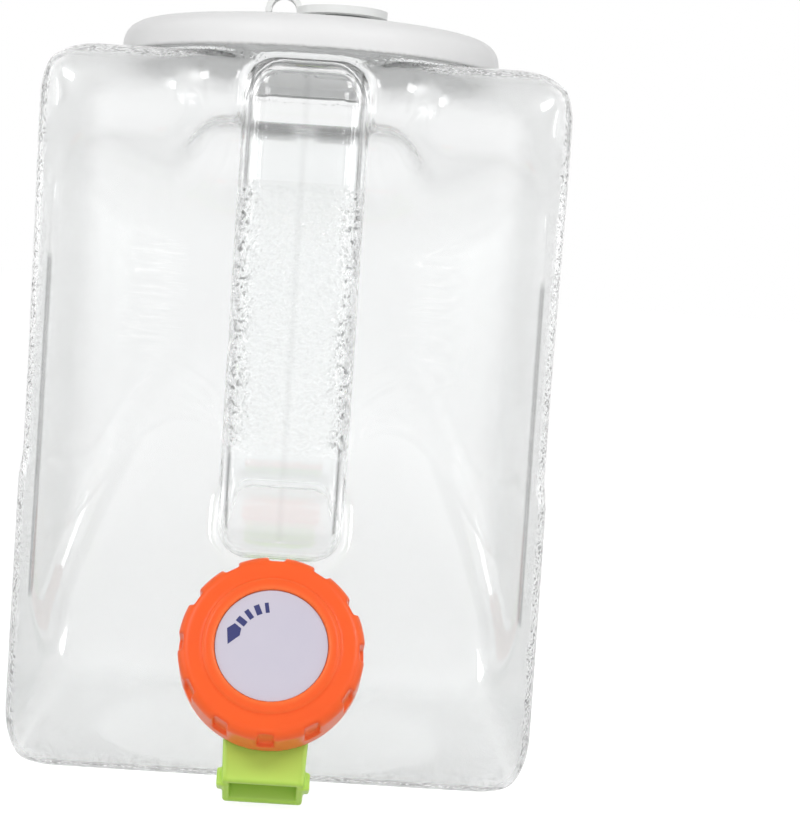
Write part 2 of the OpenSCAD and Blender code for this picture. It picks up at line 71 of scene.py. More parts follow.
# Light tent.
# Four panels of white cloth stand round the jug, brighter towards its sides, with dark seams between them
# that draw the edges of the clear plastic. Two lamps in front give the highlights on the shoulders, a strip
# on each side lights the edges there, and a wide, weak lamp lights the spout from low down.
def add_node(tree, kind, sockets=None, **settings):
    """Adds a shader node, sets its options, and fills its sockets with values or with links."""
    made = tree.nodes.new(kind)
    for name, value in settings.items():
        setattr(made, name, value)
    for name, value in (sockets or {}).items():
        if isinstance(value, bpy.types.NodeSocket):
            tree.links.new(value, made.inputs[name])
        else:
            made.inputs[name].default_value = value
    return made


def math_node(tree, operation, *values):
    """Adds a math node on values or sockets, and returns its output."""
    return add_node(tree, "ShaderNodeMath", dict(enumerate(values)), operation=operation).outputs[0]


def bent_ray(tree):
    """1 for rays that come from gloss or through clear plastic, otherwise 0."""
    path = add_node(tree, "ShaderNodeLightPath")
    return math_node(tree, "MAXIMUM", path.outputs["Is Glossy Ray"], path.outputs["Is Transmission Ray"])


def camera_ray(tree):
    """1 for rays straight from the camera, otherwise 0."""
    return add_node(tree, "ShaderNodeLightPath").outputs["Is Camera Ray"]


tent_panels = 4
seam_grey = 0.12
cloth_seen = 0.96
side_gain = 1.0
tent_light = 0.45
# The wave is 1 in the middle of a panel and -1 in the middle of a seam. A seam is plain grey up to the first
# of these values, and fades into the cloth up to the second.
seam_plain = -0.97
seam_faded = -0.78

world = bpy.data.worlds.new("light_tent")
bpy.context.scene.world = world
world.use_nodes = True
tent = world.node_tree
tent.nodes.clear()
direction = add_node(tent, "ShaderNodeTexCoord").outputs["Generated"]
axes = add_node(tent, "ShaderNodeSeparateXYZ", {0: direction})
heading = math_node(tent, "ARCTAN2", axes.outputs["X"], axes.outputs["Y"])
wave = math_node(tent, "COSINE", math_node(tent, "MULTIPLY", heading, tent_panels))
cloth = add_node(
    tent, "ShaderNodeMapRange", {0: wave, 1: seam_plain, 2: seam_faded, 3: seam_grey, 4: cloth_seen},
    interpolation_type="SMOOTHSTEP",
).outputs[0]
sideways = math_node(tent, "MULTIPLY", axes.outputs["X"], axes.outputs["X"])
cloth = math_node(tent, "MULTIPLY", cloth, math_node(tent, "MULTIPLY_ADD", sideways, side_gain, 1.0))
lit = add_node(tent, "ShaderNodeMix", {0: bent_ray(tent), 2: tent_light, 3: cloth}).outputs[0]
level = add_node(tent, "ShaderNodeMix", {0: camera_ray(tent), 2: lit, 3: 1.0}).outputs[0]
cloth_light = add_node(tent, "ShaderNodeBackground", {"Color": (1, 1, 1, 1), "Strength": level})
add_node(tent, "ShaderNodeOutputWorld", {"Surface": cloth_light.outputs[0]})


def soft_lamp(name, place, aim, width, height, watts):
    """A soft box of a width and height in metres, at a place and turned towards another."""
    data = bpy.data.lights.new(name, "AREA")
    data.shape = "RECTANGLE"
    data.size = width
    data.size_y = height
    data.energy = watts
    lamp = bpy.data.objects.new(name, data)
    lamp.location = place
    lamp.rotation_euler = (Vector(aim) - lamp.location).to_track_quat("-Z", "Y").to_euler()
    bpy.context.scene.collection.objects.link(lamp)
    return lamp


for name, side in (("left_lamp", -1), ("right_lamp", 1)):
    soft_lamp(name, (side * 0.42, -0.62, 0.66), aim=(0, 0, 0.11), width=0.24, height=0.24, watts=2.0)
for name, side in (("left_strip", -1), ("right_strip", 1)):
    soft_lamp(name, (side * 0.86, -0.45, 0.3), aim=(0, 0, 0.15), width=0.1, height=0.24, watts=0.6)
low_fill = soft_lamp("low_fill", (0, -0.95, 0.12), aim=(0, 0, 0.05), width=0.5, height=0.5, watts=0.9)
low_fill.visible_glossy = False
low_fill.visible_transmission = False

# Floor.
# A wide sheet of matt white paper just under the jug's base, which takes its soft shadow. It glows a little
# to show as white. Through the plastic it looks greyer close to the jug, a painted shadow in its glow for
# the light that the jug keeps off it.
floor_radius = 8
floor_sides = 96
floor_drop = 0.0006
paper_color = (0.8, 0.8, 0.8, 1)
glowing_paper_color = (0.3, 0.3, 0.3, 1)
paper_glow = 0.87
shaded_reach = 0.1
lit_reach = 0.9
painted_shadow_glow = 0.61
paper_glow_far = 0.785

floor_mesh = bpy.data.meshes.new("floor")
floor_bm = bmesh.new()
bmesh.ops.create_circle(
    floor_bm, cap_ends=True, segments=floor_sides, radius=floor_radius,
    matrix=Matrix.Translation((0, 0, -floor_drop)),
)
floor_bm.to_mesh(floor_mesh)
floor_bm.free()
floor = bpy.data.objects.new("floor", floor_mesh)
bpy.context.scene.collection.objects.link(floor)
paper = bpy.data.materials.new("white_paper")
paper.use_nodes = True
tree = paper.node_tree
tree.nodes.clear()
matt = add_node(tree, "ShaderNodeBsdfDiffuse", {"Color": paper_color})
faint = add_node(tree, "ShaderNodeBsdfDiffuse", {"Color": glowing_paper_color})
from_camera = camera_ray(tree)
place = add_node(tree, "ShaderNodeTexCoord").outputs["Object"]
from_jug = add_node(tree, "ShaderNodeVectorMath", {0: place}, operation="LENGTH").outputs["Value"]
# Painted shadow: seen through the plastic, the glow is lower close to the jug.
glow_with_painted_shadow = add_node(
    tree, "ShaderNodeMapRange",
    {0: from_jug, 1: shaded_reach, 2: lit_reach, 3: painted_shadow_glow, 4: paper_glow_far},
).outputs[0]
glow_level = add_node(tree, "ShaderNodeMix", {0: from_camera, 2: glow_with_painted_shadow, 3: paper_glow}).outputs[0]
glow = add_node(tree, "ShaderNodeEmission", {"Color": (1, 1, 1, 1), "Strength": glow_level})
bright = add_node(tree, "ShaderNodeAddShader", {0: faint.outputs[0], 1: glow.outputs[0]})
seen = math_node(tree, "MAXIMUM", from_camera, bent_ray(tree))
sheet = add_node(tree, "ShaderNodeMixShader", {0: seen, 1: matt.outputs[0], 2: bright.outputs[0]})
add_node(tree, "ShaderNodeOutputMaterial", {"Surface": sheet.outputs[0]})
floor_mesh.materials.append(paper)

# Tank.
# One blow moulding of clear plastic, thicker along the handle: a rounded block with a barrel-shaped recess
# in its front, a hollow handle down the recess, and a round neck on top. The lid pushes over the neck, and
# the tap passes through a hole in the slope below the handle. Sizes here are millimetres.
tank_half_width = 79.0
tank_half_depth = 65.0
tank_height = 215.0
plan_round = 16.0
outline_round = 18.0
top_edge_round = 20.0
low_edge_round = 12.0
block_blend = 3.0
tank_wall = 1.3
handle_wall = 2.4
handle_wall_fade = 3.0
handle_wall_start = 10.0
waist_inset = 0.9
waist_low = 86.0
waist_low_fade = 7.0
waist_high = 190.0
waist_high_fade = 70.0
recess_radius = 79.76
recess_centre_y = -94.76
recess_top = 190.0
ceiling_lean = math.radians(24)
recess_low = 54.0
recess_low_round = 78.0
ceiling_blend = 14.0
slope_blend = 12.0
recess_edge_blend = 7.0
pad_centre = np.array([0.0, -57.986, 31.381])
tap_axis = np.array([0.0, -0.898794, 0.438371])
pad_radius = 20.0
pad_depth = 10.0
pad_blend = 3.0
handle_half_width = 18.5
handle_half_depth = 12.0
handle_round = 9.0
handle_y = -57.0
handle_top = 212.5
handle_back_y = 2.0
handle_bend = 22.0
handle_root = 75.0
handle_end_blend = 12.0
handle_blend = 4.0
neck_radius = 56.0
neck_top = 222.0
neck_spare = 3.0
neck_root = 5.0
neck_blend = 2.0
bead_height = 218.5
bead_out = 1.6
bead_blend = 1.0
mouth_radius = 53.5
gutter_half_width = 35.0
gutter_floor_y = -56.0
gutter_low = 150.0
arch_half_width = 33.0
arch_top = 193.0
arch_back_y = -33.0
arch_blend = 12.0
arch_to_gutter_blend = 6.0
arch_to_recess_blend = 8.0


def smooth_max(a, b, blend):
    """The larger of two distances, rounded over where they are nearly equal."""
    share = np.clip(0.5 + 0.5 * (a - b) / blend, 0, 1)
    return b + (a - b) * share + blend * share * (1 - share)


def smooth_min(a, b, blend):
    """The smaller of two distances, rounded over where they are nearly equal."""
    return -smooth_max(-a, -b, blend)


def corner_distance(a, b, radius):
    """Signed distance to a rounded corner, from the distances past its two straight sides."""
    a = a + radius
    b = b + radius
    return np.hypot(np.maximum(a, 0), np.maximum(b, 0)) + np.minimum(np.maximum(a, b), 0) - radius


def block_distance(x, y, z):
    """Signed distance to the tank's rounded block, whose sides draw in a little at hand height."""
    rising = np.clip((z - waist_low) / waist_low_fade, 0, 1)
    falling = np.clip((waist_high - z) / waist_high_fade, 0, 1)
    inset = waist_inset * rising * falling
    side = np.abs(x) + inset - tank_half_width
    front = np.abs(y) - tank_half_depth
    middle = tank_height / 2
    end = np.abs(z - middle) - middle
    edge_round = np.where(z > middle, top_edge_round, low_edge_round)
    plan = corner_distance(side, front, plan_round)
    outline = corner_distance(side, end, outline_round)
    profile = corner_distance(front, end, edge_round)
    return smooth_max(smooth_max(plan, outline, block_blend), profile, block_blend)


def handle_distance(x, y, z):
    """Signed distance to the handle: an upright bar that bends back into the recess at its foot."""
    bend_y = handle_y + handle_bend
    bend_z = handle_root + handle_bend
    in_bend = np.hypot(np.minimum(y - bend_y, 0), np.minimum(z - bend_z, 0)) - handle_bend
    across = np.where(z > bend_z, y - handle_y, np.where(y > bend_y, z - handle_root, in_bend))
    section = corner_distance(
        np.abs(x) - handle_half_width, np.abs(across) - handle_half_depth, handle_round
    )
    return smooth_max(section, np.maximum(z - handle_top, y - handle_back_y), handle_end_blend)


def tank_distance(x, y, z):
    """Signed distance to the tank's outer skin below the neck."""
    block = block_distance(x, y, z)
    reach = np.hypot(x, y - recess_centre_y)
    drawn_in = np.maximum(recess_low - z, 0) ** 2 / (2 * recess_low_round)
    ceiling = (z - recess_top) * math.cos(ceiling_lean) + (y + tank_half_depth) * math.sin(ceiling_lean)
    barrel = smooth_max(reach - recess_radius + drawn_in, ceiling, ceiling_blend)
    along = (y - pad_centre[1]) * tap_axis[1] + (z - pad_centre[2]) * tap_axis[2]
    recess = smooth_max(barrel, -along, slope_blend)
    gutter = smooth_max(np.abs(x) - gutter_half_width, y - gutter_floor_y, arch_blend)
    arch = smooth_max(z - arch_top, y - arch_back_y, arch_blend)
    arch = smooth_max(np.abs(x) - arch_half_width, arch, arch_blend)
    upper = smooth_min(gutter, arch, arch_to_gutter_blend)
    upper = smooth_max(upper, gutter_low - z, arch_to_gutter_blend)
    recess = smooth_min(recess, upper, arch_to_recess_blend)
    body = smooth_max(block, -recess, recess_edge_blend)
    body = smooth_min(body, handle_distance(x, y, z), handle_blend)
    off_axis = x**2 + (y - pad_centre[1]) ** 2 + (z - pad_centre[2]) ** 2 - along**2
    pad_ends = np.maximum(along, -along - pad_depth)
    pad = np.maximum(np.sqrt(np.maximum(off_axis, 0)) - pad_radius, pad_ends)
    return smooth_min(body, pad, pad_blend)


def outside_distance(x, y, z):
    """Signed distance to the tank's outer skin with its neck, which runs on past its rim."""
    from_middle = np.hypot(x, y)
    ends = np.maximum(tank_height - neck_root - z, z - neck_top - neck_spare)
    neck = np.maximum(from_middle - neck_radius, ends)
    bead = np.hypot(from_middle - neck_radius, z - bead_height) - bead_out
    body = smooth_min(tank_distance(x, y, z), neck, neck_blend)
    return smooth_min(body, bead, bead_blend)


def wall_thickness(x, y, z):
    """Thickness of the moulding, which is greater along the handle."""
    in_handle = np.clip(0.5 - handle_distance(x, y, z) / handle_wall_fade, 0, 1)
    above_root = np.clip((z - handle_root) / handle_wall_start, 0, 1)
    return tank_wall + (handle_wall - tank_wall) * (in_handle * above_root)


def inside_distance(x, y, z):
    """Signed distance to the tank's hollow with its mouth, which runs on past the neck's rim."""
    ends = np.maximum(tank_height - neck_root - tank_wall - z, z - neck_top - neck_spare)
    mouth = np.maximum(np.hypot(x, y) - mouth_radius, ends)
    return smooth_min(tank_distance(x, y, z) + wall_thickness(x, y, z), mouth, neck_blend)


def skin(field, low, step):
    """Points and four-sided faces of the surface on which a sampled field is zero."""
    inside = field < 0
    cells = tuple(n - 1 for n in field.shape)
    total = np.zeros((np.prod(cells), 3))
    count = np.zeros(np.prod(cells))
    faces = []
    for axis in range(3):
        here = [slice(None)] * 3
        there = [slice(None)] * 3
        here[axis] = slice(0, -1)
        there[axis] = slice(1, None)
        start = np.argwhere(inside[tuple(here)] != inside[tuple(there)])
        end = start.copy()
        end[:, axis] += 1
        a = field[tuple(start.T)]
        b = field[tuple(end.T)]
        crossing = start.astype(float)
        crossing[:, axis] += a / (a - b)
        corners = []
        for back in ((0, 0), (1, 0), (1, 1), (0, 1)):
            cell = start.copy()
            cell[:, (axis + 1) % 3] -= back[0]
            cell[:, (axis + 2) % 3] -= back[1]
            number = np.ravel_multi_index(tuple(cell.T), cells)
            np.add.at(total, number, crossing)
            np.add.at(count, number, 1)
            corners.append(number)
        face = np.stack(corners, 1)
        turn = a > 0
        face[turn] = face[turn][:, ::-1]
        faces.append(face)
    used = np.flatnonzero(count)
    order = np.zeros(len(count), int)
    order[used] = np.arange(len(used))
    return low + step * total[used] / count[used][:, None], order[np.vstack(faces)]


def slope_of(distance, points):
    """Gradient of a distance at points."""
    reach = 0.05
    columns = []
    for axis in range(3):
        shift = np.zeros(3)
        shift[axis] = reach
        columns.append(distance(*(points + shift).T) - distance(*(points - shift).T))
    return np.stack(columns, 1) / (2 * reach)


def moulded_skin(distance, low, high, step):
    """Points and faces of the surface where a distance is zero: found on a grid, then moved onto it."""
    passes = 3
    least_slope = 0.05
    ticks = [np.arange(start, end, step) for start, end in zip(low, high)]
    points, faces = skin(distance(*np.meshgrid(*ticks, indexing="ij")), np.array(low), step)
    for _ in range(passes):
        slope = slope_of(distance, points)
        off = distance(*points.T) / np.maximum((slope**2).sum(1), least_slope)
        points = points - slope * off[:, None]
    return points, faces


def new_piece(name, mesh, body):
    """Makes a smooth-shaded object of a mesh, riding on a body."""
    piece = bpy.data.objects.new(name, mesh)
    bpy.context.scene.collection.objects.link(piece)
    mesh.shade_smooth()
    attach(piece, body)
    return piece


MM = 0.001
tank_low = (-81.2, -72.3, -2.75)
tank_high = (81.0, 67.0, 229.0)
tank_grid = 1.5
outer_points, outer_faces = moulded_skin(outside_distance, tank_low, tank_high, tank_grid)
inner_points, inner_faces = moulded_skin(inside_distance, tank_low, tank_high, tank_grid)
shell_points = np.vstack([outer_points, inner_points]) * MM
shell_faces = np.vstack([outer_faces, inner_faces[:, ::-1] + len(outer_points)])
tank_mesh = bpy.data.meshes.new("clear_tank")
tank_mesh.from_pydata(shell_points.tolist(), [], shell_faces.tolist())

# The neck is cut level, and its rim closed between the outer and the inner skin.
shell_bm = bmesh.new()
shell_bm.from_mesh(tank_mesh)
bmesh.ops.bisect_plane(
    shell_bm, geom=shell_bm.verts[:] + shell_bm.edges[:] + shell_bm.faces[:], dist=1e-6,
    plane_co=(0, 0, neck_top * MM), plane_no=(0, 0, 1), clear_outer=True,
)
rim = [edge for edge in shell_bm.edges if edge.is_boundary]
bmesh.ops.bridge_loops(shell_bm, edges=rim)
shell_bm.to_mesh(tank_mesh)
shell_bm.free()

# The tap's hole is cut through the slope.
tap_hole_radius = 13.3
drill_depth = 10.0
drill_sides = 96
on_slope = Matrix.Translation(Vector(pad_centre * MM)) @ Matrix.Rotation(
    math.atan2(-tap_axis[1], tap_axis[2]), 4, "X"
)
drill_mesh = bpy.data.meshes.new("tap_drill")
drill_bm = bmesh.new()
bmesh.ops.create_cone(
    drill_bm, cap_ends=True, segments=drill_sides, radius1=tap_hole_radius * MM,
    radius2=tap_hole_radius * MM, depth=drill_depth * MM, matrix=on_slope,
)
drill_bm.to_mesh(drill_mesh)
drill_bm.free()
drill = bpy.data.objects.new("tap_drill", drill_mesh)
shell = bpy.data.objects.new("tank_shell", tank_mesh)
for helper in (drill, shell):
    bpy.context.scene.collection.objects.link(helper)
hole = shell.modifiers.new("tap_hole", "BOOLEAN")
hole.operation = "DIFFERENCE"
hole.solver = "EXACT"
hole.object = drill
bpy.context.view_layer.update()
tank_mesh = bpy.data.meshes.new_from_object(shell.evaluated_get(bpy.context.evaluated_depsgraph_get()))
tank_mesh.name = "clear_tank"
for helper in (drill, shell):
    bpy.data.objects.remove(helper)

# The side walls, the outer edges and the middle of the handle have a pebbled finish from the mould, and the
# inner skin is duller than the outer one, except in the handle. The side band is wider at the hand holds.
block_reach = 0.5
hold_low = 53.0
hold_high = 150.0
band_start_at_hold = 73.0
band_start = 74.3
end_band_depth = 4.2
band_fade = 0.6
handle_reach = 0.8
grip_low = 97.0
grip_low_fade = 4.0
grip_high = 176.0
grip_high_fade = 3.0
handle_dullness = 0.1
dullness_fade = 2.0


def points_of(mesh):
    """Coordinates of a mesh's points, in millimetres."""
    places = np.zeros(len(mesh.vertices) * 3)
    mesh.vertices.foreach_get("co", places)
    return places.reshape(-1, 3) / MM


def mark_points(mesh, name, values):
    """Stores one value for each point of a mesh, for its material to read."""
    mesh.attributes.new(name, "FLOAT", "POINT").data.foreach_set("value", values.astype(np.float32))


x, y, z = points_of(tank_mesh).T
inside = -tank_distance(x, y, z) > tank_wall / 2
on_block = np.abs(block_distance(x, y, z)) < block_reach
band_edge = np.where((z > hold_low) & (z < hold_high), band_start_at_hold, band_start)
side_band = np.clip((np.abs(x) - band_edge) / band_fade, 0, 1)
past_end = np.abs(z - tank_height / 2) - tank_height / 2 + end_band_depth
end_band = np.clip(past_end / band_fade, 0, 1)
on_edges = np.where(on_block & (np.hypot(x, y) > neck_radius), np.maximum(side_band, end_band), 0)
from_handle = handle_distance(x, y, z)
on_handle = np.abs(from_handle) < handle_reach
above_low = np.clip((z - grip_low) / grip_low_fade, 0, 1)
below_high = np.clip((grip_high - z) / grip_high_fade, 0, 1)
on_grip = on_handle * above_low * below_high
dullness = inside * np.clip(from_handle / dullness_fade + 1, handle_dullness, 1)
mark_points(tank_mesh, "edge_pebbles", on_edges)
mark_points(tank_mesh, "grip_pebbles", on_grip)
mark_points(tank_mesh, "handle_front", on_handle * (y < handle_y))
mark_points(tank_mesh, "front_half", y < 0)
mark_points(tank_mesh, "inner_skin", dullness)


def attribute(tree, name):
    """A value stored on the mesh's points."""
    return add_node(tree, "ShaderNodeAttribute", attribute_name=name).outputs["Fac"]


def ridge(tree, value, middle, half_width):
    """1 where a value is at the middle, falling to 0 at half a width to each side."""
    off = math_node(tree, "ABSOLUTE", math_node(tree, "SUBTRACT", value, middle))
    return add_node(
        tree, "ShaderNodeMapRange", {0: off, 1: half_width, 2: 0.0, 3: 0.0, 4: 1.0},
        interpolation_type="SMOOTHSTEP",
    ).outputs[0]


def plateau(tree, value, low, high, fade):
    """1 while a value lies between two others, falling to 0 within a fade past each."""
    middle = (low + high) / 2
    half = (high - low) / 2
    off = math_node(tree, "ABSOLUTE", math_node(tree, "SUBTRACT", value, middle))
    return add_node(tree, "ShaderNodeMapRange", {0: off, 1: half + fade, 2: half}).outputs[0]


def hollow_shade(tree, noise):
    """Painted shade: 1 in the deeper hollows between pebbles, otherwise 0."""
    shallow = 0.52
    deep = 0.68
    return add_node(
        tree, "ShaderNodeMapRange", {0: noise, 1: shallow, 2: deep}, interpolation_type="SMOOTHSTEP"
    ).outputs[0]


def pebble_noise(tree, place, scale):
    """Soft grains, each about a metre divided by the scale."""
    noise = add_node(tree, "ShaderNodeTexNoise", {"Vector": place, "Scale": scale, "Detail": 1.0})
    return noise.outputs["Fac"]


def product(tree, first, *others):
    """The product of values or sockets."""
    for other in others:
        first = math_node(tree, "MULTIPLY", first, other)
    return first


clear_color = (0.985, 0.99, 0.99, 1)
shade_and_seam_color = (0.1, 0.1, 0.1, 1)
shadow_color = (0.95, 0.96, 0.96, 1)
outer_roughness = 0.03
inner_roughness = 0.23
edge_grain = 1150.0
grip_grain = 800.0
grain_stretch = 0.45
edge_relief = 0.4
seam_relief = 0.25
relief_depth = 0.0006
seam_strength = 0.12
hold_shade_strength = 0.75
arch_shade_strength = 0.5
shade_line_and_seam_strength = 0.9
edge_shade_strength = 0.9
grip_middle_shade = 0.08
grip_side_shade = 0.9
grip_shade_line_cover = 0.8

clear_plastic = bpy.data.materials.new("clear_plastic")
clear_plastic.use_nodes = True
tree = clear_plastic.node_tree
tree.nodes.clear()
place = add_node(tree, "ShaderNodeTexCoord").outputs["Object"]
axes = add_node(tree, "ShaderNodeSeparateXYZ", {0: place}).outputs
across = math_node(tree, "ABSOLUTE", axes["X"])
height = axes["Z"]
edge_mask = attribute(tree, "edge_pebbles")
grip_mask = attribute(tree, "grip_pebbles")
handle_front = attribute(tree, "handle_front")
front_half = attribute(tree, "front_half")

# Pebbles, about twice as long from front to back, and the mould's parting line down the handle. The
# material's own places and widths are metres.
depth = math_node(tree, "MULTIPLY", axes["Y"], grain_stretch)
grain_place = add_node(tree, "ShaderNodeCombineXYZ", {0: axes["X"], 1: depth, 2: height}).outputs[0]
fine = pebble_noise(tree, grain_place, edge_grain)
coarse = pebble_noise(tree, grain_place, grip_grain)
pebbles = product(tree, fine, edge_mask, edge_relief)
pebbles = math_node(tree, "MULTIPLY_ADD", coarse, grip_mask, pebbles)
seam = product(tree, ridge(tree, across, middle=0.0, half_width=0.0018), handle_front)
bump_height = math_node(tree, "MULTIPLY_ADD", seam, seam_relief, pebbles)
bump = add_node(tree, "ShaderNodeBump", {"Height": bump_height, "Strength": 1.0, "Distance": relief_depth})

# Painted shade: fine dark lines at the hand holds, along both sides of the handle's front, and across
# the arch behind it.
at_hold = plateau(tree, height, hold_low * MM, hold_high * MM, fade=0.003)
hold_shade_line = ridge(tree, across, middle=0.0721, half_width=0.0006)
hold_shade_line = product(tree, hold_shade_line, at_hold, front_half, hold_shade_strength)
off_grip = math_node(tree, "SUBTRACT", 1.0, math_node(tree, "MULTIPLY", grip_mask, grip_shade_line_cover))
handle_shade_line = ridge(tree, across, middle=0.0158, half_width=0.0009)
handle_shade_line = product(tree, handle_shade_line, handle_front, off_grip)
behind_handle = plateau(tree, across, low=0.005, high=0.0165, fade=0.003)
arch_shade_line = ridge(tree, height, middle=0.1915, half_width=0.0016)
arch_shade_line = product(tree, arch_shade_line, behind_handle, front_half, arch_shade_strength)
shade_lines_and_seam = math_node(tree, "MAXIMUM", hold_shade_line, handle_shade_line)
shade_lines_and_seam = math_node(tree, "MAXIMUM", shade_lines_and_seam, arch_shade_line)
# Add the mould's parting line, which darkens the plastic a little.
shade_lines_and_seam = math_node(tree, "MULTIPLY_ADD", seam, seam_strength, shade_lines_and_seam)

# Painted shade: dark flecks in the deeper hollows between the pebbles. On the grip they gather towards its
# two sides.
edge_hollow_shade = product(tree, hollow_shade(tree, fine), edge_mask)
grip_sides = ridge(tree, across, middle=0.0156, half_width=0.004)
grip_share = math_node(tree, "MULTIPLY_ADD", grip_sides, grip_side_shade, grip_middle_shade)
grip_hollow_shade = product(tree, hollow_shade(tree, coarse), grip_mask, grip_share)
painted_shade_and_seam = math_node(tree, "MULTIPLY_ADD", edge_hollow_shade, edge_shade_strength, grip_hollow_shade)
painted_shade_and_seam = math_node(tree, "MULTIPLY_ADD", shade_lines_and_seam, shade_line_and_seam_strength, painted_shade_and_seam)
# Painted shade: the plastic's colour darkens towards grey along the lines and flecks above, and a little
# along the parting line.
tint = add_node(
    tree, "ShaderNodeMix", {0: painted_shade_and_seam, 6: clear_color, 7: shade_and_seam_color}, data_type="RGBA"
).outputs[2]
dulling = inner_roughness - outer_roughness
gloss = math_node(tree, "MULTIPLY_ADD", attribute(tree, "inner_skin"), dulling, outer_roughness)
clear = add_node(
    tree, "ShaderNodeBsdfPrincipled",
    {
        "Base Color": tint, "Roughness": gloss, "IOR": 1.48, "Transmission Weight": 0.985,
        "Normal": bump.outputs[0],
    },
)
passing = add_node(tree, "ShaderNodeBsdfTransparent", {"Color": shadow_color})
in_shadow = add_node(tree, "ShaderNodeLightPath").outputs["Is Shadow Ray"]
tank_wall_shader = add_node(
    tree, "ShaderNodeMixShader", {0: in_shadow, 1: clear.outputs[0], 2: passing.outputs[0]}
)
add_node(tree, "ShaderNodeOutputMaterial", {"Surface": tank_wall_shader.outputs[0]})
tank_mesh.materials.append(clear_plastic)
tank = new_piece("clear_tank", tank_mesh, "jug")
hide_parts("tank", "base", "handle", "neck")

# Light crosses many clear walls on its way through the tank.
clear_bounces = 48
shadow_bounces = 16
light_paths = bpy.context.scene.cycles
light_paths.max_bounces = clear_bounces
light_paths.transmission_bounces = clear_bounces
light_paths.glossy_bounces = clear_bounces
light_paths.transparent_max_bounces = shadow_bounces


# Tap gaskets.
# Two flat rings of clear silicone, one on each side of the tank's wall. The tap's flange and its nut squeeze
# them against the wall.
def moulded_finish():
    """Node group: clouds of two colours and a fine skin, as left by an injection mould."""
    cloud_scale = 55.0
    cloud_low = 0.3
    cloud_high = 0.7
    cloud_middle = 0.5
    gloss_change = 0.15
    skin_scale = 1800.0
    skin_relief = 0.0001
    group = bpy.data.node_groups.new("moulded_finish", "ShaderNodeTree")
    for name, kind, way in (
        ("Color", "NodeSocketColor", "INPUT"),
        ("Deep Color", "NodeSocketColor", "INPUT"),
        ("Lit Through Color", "NodeSocketColor", "INPUT"),
        ("Thin", "NodeSocketFloat", "INPUT"),
        ("Roughness", "NodeSocketFloat", "INPUT"),
        ("Skin", "NodeSocketFloat", "INPUT"),
        ("Color", "NodeSocketColor", "OUTPUT"),
        ("Roughness", "NodeSocketFloat", "OUTPUT"),
        ("Normal", "NodeSocketVector", "OUTPUT"),
    ):
        group.interface.new_socket(name, in_out=way, socket_type=kind)
    given = add_node(group, "NodeGroupInput").outputs
    place = add_node(group, "ShaderNodeTexCoord").outputs["Object"]
    cloud = add_node(group, "ShaderNodeTexNoise", {"Vector": place, "Scale": cloud_scale, "Detail": 4.0})
    cloud = cloud.outputs["Fac"]
    share = add_node(group, "ShaderNodeMapRange", {0: cloud, 1: cloud_low, 2: cloud_high}).outputs[0]
    body_color = add_node(
        group, "ShaderNodeMix", {0: share, 6: given["Color"], 7: given["Deep Color"]}, data_type="RGBA"
    ).outputs[2]
    # Painted light: where the piece is marked thin it turns to a lighter colour, for light showing through.
    color = add_node(
        group, "ShaderNodeMix", {0: given["Thin"], 6: body_color, 7: given["Lit Through Color"]}, data_type="RGBA"
    ).outputs[2]
    offset = math_node(group, "MULTIPLY", math_node(group, "SUBTRACT", cloud, cloud_middle), gloss_change)
    gloss = math_node(group, "ADD", given["Roughness"], offset)
    speck = add_node(group, "ShaderNodeTexNoise", {"Vector": place, "Scale": skin_scale, "Detail": 2.0})
    speck = speck.outputs["Fac"]
    bump = add_node(
        group, "ShaderNodeBump", {"Height": speck, "Strength": given["Skin"], "Distance": skin_relief}
    )
    add_node(group, "NodeGroupOutput", {"Color": color, "Roughness": gloss, "Normal": bump.outputs[0]})
    return group


finish_group = moulded_finish()


def moulded_material(name, color, deep_color, roughness, skin_depth, lit_through_color=None, **shader_values):
    """A moulded plastic or rubber, which takes its lit-through colour, if any, where its mesh is marked
    thin: painted light, for light showing through the thin plastic.
    """
    material = bpy.data.materials.new(name)
    material.use_nodes = True
    tree = material.node_tree
    tree.nodes.clear()
    finish = add_node(tree, "ShaderNodeGroup", node_tree=finish_group)
    finish.inputs["Color"].default_value = (*color, 1)
    finish.inputs["Deep Color"].default_value = (*deep_color, 1)
    finish.inputs["Roughness"].default_value = roughness
    finish.inputs["Skin"].default_value = skin_depth
    if lit_through_color:
        finish.inputs["Lit Through Color"].default_value = (*lit_through_color, 1)
        tree.links.new(attribute(tree, "thin"), finish.inputs["Thin"])
    shader = add_node(
        tree, "ShaderNodeBsdfPrincipled",
        {
            "Base Color": finish.outputs["Color"], "Roughness": finish.outputs["Roughness"],
            "Normal": finish.outputs["Normal"], **shader_values,
        },
    )
    add_node(tree, "ShaderNodeOutputMaterial", {"Surface": shader.outputs[0]})
    return material


def dress(material, *names):
    """Gives CAD nodes a material."""
    for name in names:
        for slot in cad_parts[name].material_slots:
            slot.material = material


clear_silicone = moulded_material(
    "clear_silicone", color=(0.72, 0.74, 0.72), deep_color=(0.66, 0.68, 0.66), roughness=0.35,
    skin_depth=0.3, **{"Transmission Weight": 0.4, "IOR": 1.41},
)
dress(clear_silicone, "tap_gasket_outer", "tap_gasket_inner")


